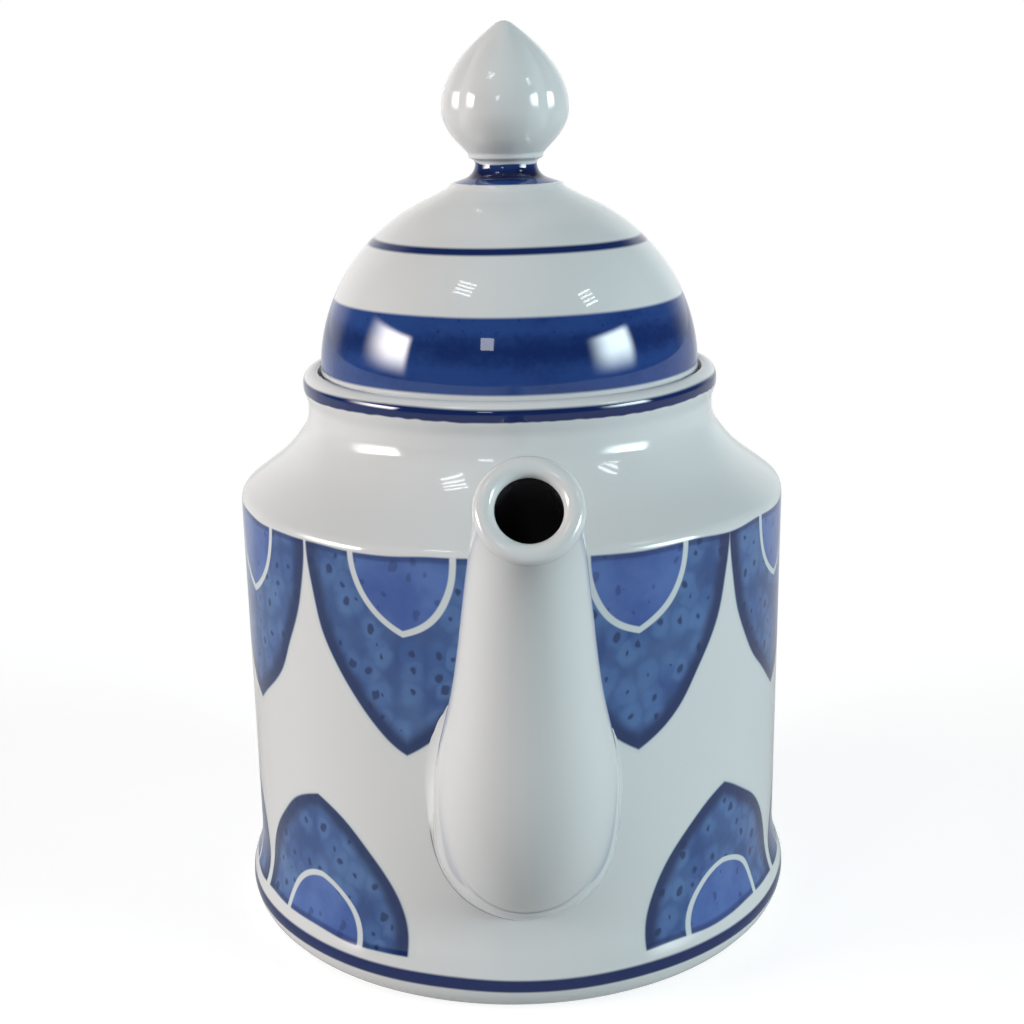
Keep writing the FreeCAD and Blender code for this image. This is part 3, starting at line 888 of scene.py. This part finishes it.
def painted_lid_glaze():
    """The lid's glaze over its two bands: the broad one is darkest at its core and specked above it."""
    material, tree, shader, place, white = clear_glaze("painted_lid_glaze")
    radius, height, angle = axis_parts(tree, place)
    up = maths(tree, "DIVIDE", maths(tree, "SUBTRACT", height, dome_base), DOME_RISE)
    out = maths(tree, "DIVIDE", radius, LID_RADIUS)
    shell = maths(tree, "ADD", maths(tree, "POWER", up, 2), maths(tree, "POWER", out, 2))
    outside = fade(tree, shell, *DOME_SHELL)
    stroke = maths(tree, "ADD", height, wander(tree, place, *BAND_UNSTEADY))
    streaks = mottle(tree, stretched(tree, place, STREAK_STRETCH), STREAK_GRAIN, STREAK_DETAIL)
    pools = mottle(tree, stretched(tree, place, POOL_STRETCH), POOL_GRAIN, POOL_DETAIL)
    streaks = times(tree, streaks, STREAK_WEIGHT)
    pools = times(tree, pools, POOL_WEIGHT)
    grain = times(tree, mottle(tree, place, FINE_GRAIN), FINE_WEIGHT)
    brushed = maths(tree, "ADD", maths(tree, "ADD", streaks, pools), grain)
    from_core = maths(tree, "ABSOLUTE", maths(tree, "SUBTRACT", stroke, BAND_CORE))
    edges = times(tree, fade(tree, from_core, *CORE_FADE), CORE_WEIGHT)
    thin = maths(tree, "ADD", brushed, edges)
    paint = blend(tree, fade(tree, thin, *BAND_THIN), BAND_DARK, BAND_LIGHT)
    dots = tree.nodes.new("ShaderNodeTexVoronoi")
    feed(tree, dots.inputs["Vector"], place)
    feed(tree, dots.inputs["Scale"], 1 / SPECK_SPACING)
    speck = times(tree, fade(tree, dots.outputs["Distance"], *SPECK_SIZE), SPECK_SHARE)
    speck = times(tree, speck, fade(tree, height, BAND_CORE, BAND_CORE + SPECK_RISE))
    paint = blend(tree, speck, paint, BAND_DARK)
    broad = between(tree, stroke, BAND_LOW, BAND_HIGH, BAND_SOFTNESS)
    fine = between(tree, stroke, THIN_LINE_LOW, THIN_LINE_HIGH, LINE_SOFTNESS)
    colour = blend(tree, times(tree, broad, outside), white, paint)
    colour = blend(tree, times(tree, fine, outside), colour, COBALT_LINE)
    feed(tree, shader.inputs["Base Color"], colour)
    return material


flange_end = seat_height - FLANGE_DEPTH
web_top = seat_height + LID_WALL
hollow_rise = dome_base + DOME_RISE - LID_WALL - web_top
lid_clay = bmesh.new()
outer_dome = dome_corners(LID_RADIUS, dome_base, DOME_RISE)
inner_dome = dome_corners(LID_RADIUS - LID_WALL, web_top, hollow_rise)
draw_section(lid_clay, list(reversed(outer_dome)) + [
    (LID_RADIUS, seat_height, EDGE_ROUND),
    (FLANGE_RADIUS, seat_height, 0),
    (FLANGE_RADIUS, flange_end, FLANGE_ROUND),
    (FLANGE_INSIDE, flange_end, FLANGE_ROUND),
    (FLANGE_INSIDE, web_top, FLANGE_ROUND),
] + inner_dome)
turn_section(lid_clay, LID_STEPS)
painted_lid = fired_piece("painted_lid", lid_clay, painted_lid_glaze())
vent_borer = bmesh.new()
bmesh.ops.create_cone(
    vent_borer,
    cap_ends=True,
    segments=VENT_SIDES,
    radius1=VENT_RADIUS,
    radius2=VENT_RADIUS,
    depth=VENT_BORE,
    matrix=Matrix.Translation((0, VENT_FROM_AXIS, dome_base + DOME_RISE)),
)
pierce(painted_lid, vent_borer)
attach(painted_lid, "lid")
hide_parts("lid_dome")

# Knob: a flared foot, a waist and a ring, turned, and on them a bud of four lobes that meet in soft
# creases and run up to a blunt point. It is luted to the dome's crown. Its foot and waist are cobalt.
KNOB_STEPS = 160
BUD_RISES = 44
KNOB_FOOT_RADIUS = 12.0
KNOB_FOOT_EDGE = 1.3
KNOB_FOOT_ROUND = 0.5
KNOB_FLARE_RISE = 1.8
KNOB_WAIST_RADIUS = 6.6
KNOB_WAIST_HEIGHT = 5.0
KNOB_WAIST_ROUND = 3.4
KNOB_NECK_ROUND = 1.0
KNOB_RING_RADIUS = 8.0
KNOB_RING_HEIGHT = 1.7
KNOB_RING_SLOPE = 0.3
KNOB_RING_LEAN = 0.1
KNOB_RING_DROP = 0.4
KNOB_RING_LOW_ROUND = 0.6
KNOB_RING_ROUND = 1.4
BUD_FOOT_RADIUS = 7.5
BUD_RADIUS = 13.6
BUD_WIDEST = 9.4
BUD_SWELL = 1.9
BUD_TIP_LOSS = 0.7
BUD_TIP_ROUND = 3.0
BUD_TURN = math.radians(4)
KNOB_SLIP = 16.5
KNOB_SLIP_SPREAD = 0.4
KNOB_SLIP_DROP = 0.8
KNOB_SLIP_ROUND = 2.6
KNOB_SINK = 1.5
BUD_SINK = 0.7
BUD_SHOWS_FROM = 0.6
BUD_LOBES = 4
CREASE_DEPTH = 0.8
CREASE_WIDTH = 2.0
CREASE_SHARE = 0.5
NEAR_AXIS = 0.01
NECK_POOL = (0.002, 0.005, 0.045, 1)
NECK_GRAIN = 5.0
NECK_STRETCH = (1, 1, 0.3)
NECK_UNSTEADY = (9.0, 0.7)
NECK_THIN = (0.7, 2.0)
NECK_THIN_WEIGHT = 1.2
BUD_CREASE_START = 1.5
BUD_CREASE_FULL = 11.0
knob_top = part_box("lid_knob")[1].z / MM
foot_base = dome_base + DOME_RISE * math.sqrt(1 - (KNOB_FOOT_RADIUS / LID_RADIUS) ** 2)
foot_top = foot_base + KNOB_FOOT_EDGE
ring_base = foot_top + KNOB_WAIST_HEIGHT
ring_top = ring_base + KNOB_RING_HEIGHT
bud_base = ring_top - BUD_SINK
bud_height = knob_top - bud_base
neck_paint_edge = (ring_base - 0.2, ring_base - 0.6)
flare_paint_edge = (KNOB_FOOT_RADIUS - 0.5, KNOB_FOOT_RADIUS - 0.9)
foot_paint_edge = (foot_top - 0.5, foot_top - 0.3)
thin_up_neck = (ring_base - 4.5, ring_base)
thin_down_flare = (KNOB_WAIST_RADIUS + 0.8, KNOB_FOOT_RADIUS - 2.0)


def bud_radius(height):
    """The bud's half width at a height above its foot: a swelling foot, then a taper to a blunt point."""
    if height < BUD_WIDEST:
        return BUD_RADIUS - (BUD_RADIUS - BUD_FOOT_RADIUS) * (1 - height / BUD_WIDEST) ** BUD_SWELL
    climb = (height - BUD_WIDEST) / (bud_height + BUD_TIP_LOSS - BUD_WIDEST)
    flank = BUD_RADIUS * (1 - climb ** 2)
    from_top = max(bud_height - height, 0.0)
    return min(flank, math.sqrt(2 * BUD_TIP_ROUND * from_top)) if from_top < BUD_TIP_LOSS else flank


def press_lobes(clay):
    """Presses the creases between the lobes into a turned bud."""
    lobe_turn = 2 * math.pi / BUD_LOBES
    for vert in clay.verts:
        height = vert.co.z - bud_base
        radius = math.hypot(vert.co.x, vert.co.y)
        if height < BUD_CREASE_START or radius < NEAR_AXIS:
            continue
        turn = math.atan2(vert.co.y, vert.co.x) + BUD_TURN
        from_middle = abs((turn / lobe_turn + 0.5) % 1 - 0.5) * 2
        from_crease = (1 - from_middle) * lobe_turn / 2 * radius
        crease = math.exp(-(from_crease / CREASE_WIDTH) ** 2)
        groove = (1 - CREASE_SHARE) * from_middle ** 2 + CREASE_SHARE * crease
        pressed = smooth_share(height, BUD_CREASE_START, BUD_CREASE_FULL)
        depth = CREASE_DEPTH * pressed * radius / BUD_RADIUS * groove
        vert.co.xy *= (radius - depth) / radius


def painted_knob_glaze():
    """The knob's glaze, with cobalt brushed round the flare and the waist up to the ring."""
    material, tree, shader, place, white = clear_glaze("painted_knob_glaze")
    radius, height, angle = axis_parts(tree, place)
    unsteady = wander(tree, stretched(tree, place, NECK_STRETCH), *NECK_UNSTEADY)
    neck = fade(tree, maths(tree, "ADD", height, unsteady), *neck_paint_edge)
    flare = fade(tree, radius, *flare_paint_edge)
    above_foot = fade(tree, height, *foot_paint_edge)
    thin = maths(tree, "ADD", mottle(tree, place, NECK_GRAIN), fade(tree, height, *thin_up_neck))
    down_flare = times(tree, fade(tree, radius, *thin_down_flare), NECK_THIN_WEIGHT)
    thin = maths(tree, "ADD", thin, down_flare)
    paint = blend(tree, fade(tree, thin, *NECK_THIN), NECK_POOL, BAND_LIGHT)
    cover = times(tree, times(tree, neck, flare), above_foot)
    feed(tree, shader.inputs["Base Color"], blend(tree, cover, white, paint))
    return material


knob_clay = bmesh.new()
bud_corners = []
for share in shares(BUD_RISES)[1:]:
    rise = bud_height * math.sin(share * math.pi / 2)
    if rise > KNOB_RING_HEIGHT * BUD_SHOWS_FROM:
        bud_corners.append((bud_radius(rise), bud_base + rise, 0))
slip_base = dome_base + DOME_RISE * math.sqrt(1 - (KNOB_SLIP / LID_RADIUS) ** 2)
draw_section(knob_clay, [
    (0, slip_base - KNOB_SINK, 0),
    (KNOB_SLIP, slip_base - KNOB_SINK, 0),
    (KNOB_SLIP, slip_base, 0),
    (KNOB_FOOT_RADIUS + KNOB_SLIP_SPREAD, foot_top - KNOB_SLIP_DROP, KNOB_SLIP_ROUND),
    (KNOB_FOOT_RADIUS, foot_top, KNOB_FOOT_ROUND),
    (KNOB_WAIST_RADIUS, foot_top + KNOB_FLARE_RISE, KNOB_WAIST_ROUND),
    (KNOB_WAIST_RADIUS, ring_base - KNOB_RING_SLOPE, KNOB_NECK_ROUND),
    (KNOB_RING_RADIUS - KNOB_RING_LEAN, ring_base + KNOB_RING_SLOPE, KNOB_RING_LOW_ROUND),
    (KNOB_RING_RADIUS + KNOB_RING_LEAN, ring_top - KNOB_RING_DROP, KNOB_RING_ROUND),
] + bud_corners)
turn_section(knob_clay, KNOB_STEPS)
press_lobes(knob_clay)
bud_knob = fired_piece("bud_knob", knob_clay, painted_knob_glaze())
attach(bud_knob, "lid")
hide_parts("lid_knob")

# Studio: a pale floor that takes the pot's shadow and runs into a white surround. Two soft windows
# glow at the sides, warm on the left and cool on the right, with small lamps in front and above.
FLOOR_HALF_SIDE = 4.0
FLOOR_PALE = (0.43, 0.43, 0.43, 1)
FLOOR_LIFT = 0.78
WHITE_FROM = 0.22
WHITE_TO = 0.60
FRONT_GLOW = 0.11
BACK_GLOW = 1.0
BACK_GLOW_SPREAD = (0.45, 0.95)
BACK_GLOW_TOP = (0.7, 0.3)
GLOW_TURN = (-0.8, 0.8)
GLOW_WARM = (1.0, 0.975, 0.955, 1)
GLOW_COOL = (0.93, 0.985, 1.0, 1)
LEFT_WINDOW = 26.5
RIGHT_WINDOW = 23.5
WINDOW_WARM = (1.0, 0.955, 0.93, 1)
WINDOW_COOL = (0.80, 0.96, 1.0, 1)
LEFT_WINDOW_OUTER = (-104, -76)
LEFT_WINDOW_INNER = (-63, -69)
RIGHT_WINDOW_OUTER = (46, 64)
RIGHT_WINDOW_INNER = (82, 74)
WINDOW_SILL = (-1.5, 14)
WINDOW_HEAD = (23, 19)
BACKDROP_LEFT = -121.0
BACKDROP_RIGHT = 137.0
BACKDROP_SOFTNESS = 14
BACKDROP_MIRRORED = 0.5
FLOOR_MIRRORED = 0.35


def seen_white(tree, share):
    """1 for what the camera sees, also through glass, a share of it where it is mirrored, else 0."""
    path = tree.nodes.new("ShaderNodeLightPath")
    mirrored = times(tree, path.outputs["Is Glossy Ray"], share)
    direct = maths(tree, "MAXIMUM", path.outputs["Is Camera Ray"], path.outputs["Is Transmission Ray"])
    return maths(tree, "MAXIMUM", direct, mirrored)


def degree_fade(tree, angle, start, end):
    """A soft step of an angle, between two angles in degrees."""
    return fade(tree, angle, math.radians(start), math.radians(end))


def backdrop(tree, side, back):
    """How white the backdrop behind the pot is mirrored; returns the bearing too, counted to the right."""
    bearing = maths(tree, "ARCTAN2", side, times(tree, back, -1))
    left = degree_fade(tree, bearing, BACKDROP_LEFT, BACKDROP_LEFT - BACKDROP_SOFTNESS)
    right = degree_fade(tree, bearing, BACKDROP_RIGHT, BACKDROP_RIGHT + BACKDROP_SOFTNESS)
    return times(tree, maths(tree, "MAXIMUM", left, right), BACKDROP_MIRRORED), bearing


def studio_floor():
    """A flat floor that the camera sees lifted to white, and as plain white further out; dimmer mirrored."""
    slab = bmesh.new()
    bmesh.ops.create_grid(slab, x_segments=1, y_segments=1, size=FLOOR_HALF_SIDE)
    mesh = bpy.data.meshes.new("studio_floor")
    slab.to_mesh(mesh)
    slab.free()
    floor = bpy.data.objects.new("studio_floor", mesh)
    bpy.context.scene.collection.objects.link(floor)
    material = bpy.data.materials.new("floor_white")
    material.use_nodes = True
    tree = material.node_tree
    tree.nodes.remove(tree.nodes["Principled BSDF"])
    matt = tree.nodes.new("ShaderNodeBsdfDiffuse")
    feed(tree, matt.inputs["Color"], FLOOR_PALE)
    lift = tree.nodes.new("ShaderNodeEmission")
    place = tree.nodes.new("ShaderNodeTexCoord").outputs["Object"]
    split = tree.nodes.new("ShaderNodeSeparateXYZ")
    feed(tree, split.inputs[0], place)
    behind = backdrop(tree, split.outputs[0], split.outputs[1])[0]
    seen = seen_white(tree, maths(tree, "MAXIMUM", behind, FLOOR_MIRRORED))
    feed(tree, lift.inputs["Strength"], times(tree, seen, FLOOR_LIFT))
    lit = tree.nodes.new("ShaderNodeAddShader")
    feed(tree, lit.inputs[0], matt.outputs[0])
    feed(tree, lit.inputs[1], lift.outputs[0])
    far = tree.nodes.new("ShaderNodeEmission")
    distance = tree.nodes.new("ShaderNodeVectorMath")
    distance.operation = "LENGTH"
    feed(tree, distance.inputs[0], place)
    away = times(tree, fade(tree, distance.outputs["Value"], WHITE_FROM, WHITE_TO), seen)
    surface = tree.nodes.new("ShaderNodeMixShader")
    feed(tree, surface.inputs[0], away)
    feed(tree, surface.inputs[1], lit.outputs[0])
    feed(tree, surface.inputs[2], far.outputs[0])
    feed(tree, tree.nodes["Material Output"].inputs["Surface"], surface.outputs[0])
    mesh.materials.append(material)


def window(tree, bearing, elevation, outer, inner, brightness, colour):
    """A window that dims towards its outer side and its sill; each side is two bearings in degrees."""
    across = times(tree, degree_fade(tree, bearing, *outer), degree_fade(tree, bearing, *inner))
    above_sill = degree_fade(tree, elevation, *WINDOW_SILL)
    up = times(tree, above_sill, degree_fade(tree, elevation, *WINDOW_HEAD))
    pane = tree.nodes.new("ShaderNodeBackground")
    feed(tree, pane.inputs["Color"], colour)
    lit = times(tree, across, up)
    feed(tree, pane.inputs["Strength"], times(tree, lit, brightness))
    return pane.outputs[0]


def surround():
    """A soft surround with two windows, dimmer on the camera's side; the camera itself sees it as white."""
    world = bpy.data.worlds.new("surround")
    world.use_nodes = True
    tree = world.node_tree
    glow = tree.nodes["Background"]
    split = tree.nodes.new("ShaderNodeSeparateXYZ")
    feed(tree, split.inputs[0], tree.nodes.new("ShaderNodeTexCoord").outputs["Generated"])
    side, back, top = split.outputs
    backing, bearing = backdrop(tree, side, back)
    elevation = maths(tree, "ARCSINE", top)
    windows = tree.nodes.new("ShaderNodeAddShader")
    left = (LEFT_WINDOW_OUTER, LEFT_WINDOW_INNER, LEFT_WINDOW, WINDOW_WARM)
    right = (RIGHT_WINDOW_OUTER, RIGHT_WINDOW_INNER, RIGHT_WINDOW, WINDOW_COOL)
    feed(tree, windows.inputs[0], window(tree, bearing, elevation, *left))
    feed(tree, windows.inputs[1], window(tree, bearing, elevation, *right))
    behind = times(tree, fade(tree, back, *BACK_GLOW_SPREAD), fade(tree, top, *BACK_GLOW_TOP))
    level = maths(tree, "ADD", times(tree, behind, BACK_GLOW), FRONT_GLOW)
    feed(tree, glow.inputs["Strength"], level)
    feed(tree, glow.inputs["Color"], blend(tree, fade(tree, side, *GLOW_TURN), GLOW_WARM, GLOW_COOL))
    room = tree.nodes.new("ShaderNodeAddShader")
    feed(tree, room.inputs[0], glow.outputs[0])
    feed(tree, room.inputs[1], windows.outputs[0])
    white = tree.nodes.new("ShaderNodeBackground")
    feed(tree, white.inputs["Color"], (1, 1, 1, 1))
    mix = tree.nodes.new("ShaderNodeMixShader")
    feed(tree, mix.inputs[0], seen_white(tree, backing))
    feed(tree, mix.inputs[1], room.outputs[0])
    feed(tree, mix.inputs[2], white.outputs[0])
    feed(tree, tree.nodes["World Output"].inputs["Surface"], mix.outputs[0])
    bpy.context.scene.world = world


LAMP_DISTANCE = 0.9
LAMP_AIM = Vector((0, 0, 0.10))
LAMP_WHITE = (0.94, 0.985, 1.0)


def soft_box(name, bearing, elevation, size, brightness):
    """A lamp that faces the pot; its bearing in degrees is counted from the camera's side to the right."""
    tilt = Matrix.Rotation(math.radians(-elevation), 3, "X")
    away = Matrix.Rotation(math.radians(bearing), 3, "Z") @ tilt @ Vector((0, -1, 0))
    lamp = bpy.data.lights.new(name, "AREA")
    lamp.shape = "RECTANGLE"
    lamp.size, lamp.size_y = size
    lamp.energy = brightness * math.pi * lamp.size * lamp.size_y
    lamp.color = LAMP_WHITE
    holder = bpy.data.objects.new(name, lamp)
    holder.location = LAMP_AIM + away * LAMP_DISTANCE
    holder.rotation_euler = away.to_track_quat("Z", "Y").to_euler()
    bpy.context.scene.collection.objects.link(holder)


CEILING_TUBES = 4
TUBE_PITCH = 2.2
TUBE_WIDTH = 0.018
TUBE_BRIGHTNESS = 10.0
LEFT_TUBE_LENGTH = 0.15
LEFT_TUBE_BEARING = -42
LEFT_TUBE_ELEVATION = 52.5
RIGHT_TUBE_LENGTH = 0.13
RIGHT_TUBE_BEARING = 62
RIGHT_TUBE_ELEVATION = 40.0
FRONT_LAMP_SIZE = (0.115, 0.115)
FRONT_LAMP_BEARING = -15
FRONT_LAMP_ELEVATION = 25
FRONT_LAMP_BRIGHTNESS = 6.5
studio_floor()
surround()
left_tube = (LEFT_TUBE_LENGTH, TUBE_WIDTH)
right_tube = (RIGHT_TUBE_LENGTH, TUBE_WIDTH)
for tube in range(CEILING_TUBES):
    left_height = LEFT_TUBE_ELEVATION + tube * TUBE_PITCH
    right_height = RIGHT_TUBE_ELEVATION + tube * TUBE_PITCH
    soft_box(f"left_ceiling_tube_{tube}", LEFT_TUBE_BEARING, left_height, left_tube, TUBE_BRIGHTNESS)
    soft_box(f"right_ceiling_tube_{tube}", RIGHT_TUBE_BEARING, right_height, right_tube, TUBE_BRIGHTNESS)
soft_box("front_lamp", FRONT_LAMP_BEARING, FRONT_LAMP_ELEVATION, FRONT_LAMP_SIZE, FRONT_LAMP_BRIGHTNESS)

# Camera: at the photograph's place, in front of the spout and as high as the lid's knob. It looks
# down on the pot and leans a degree to one side.
CAMERA_PLACE = Vector((-0.0086, -0.3401, 0.1846))
CAMERA_PITCH = math.radians(-15.662)
CAMERA_ROLL = math.radians(-0.991)
CAMERA_LENS = 54.84
CAMERA_SENSOR = 36.0
CAMERA_NEAREST = 0.01
camera_data = bpy.data.cameras.new("camera")
camera_data.lens = CAMERA_LENS
camera_data.sensor_width = CAMERA_SENSOR
camera_data.clip_start = CAMERA_NEAREST
camera = bpy.data.objects.new("camera", camera_data)
level_heading = Vector((-CAMERA_PLACE.x, -CAMERA_PLACE.y, 0)).normalized()
heading = level_heading * math.cos(CAMERA_PITCH) + Vector((0, 0, math.sin(CAMERA_PITCH)))
aim = heading.to_track_quat("-Z", "Y") @ Quaternion((0, 0, 1), CAMERA_ROLL)
camera.matrix_world = Matrix.Translation(CAMERA_PLACE) @ aim.to_matrix().to_4x4()
bpy.context.scene.collection.objects.link(camera)
bpy.context.scene.camera = camera
bpy.context.scene.view_settings.view_transform = "Standard"
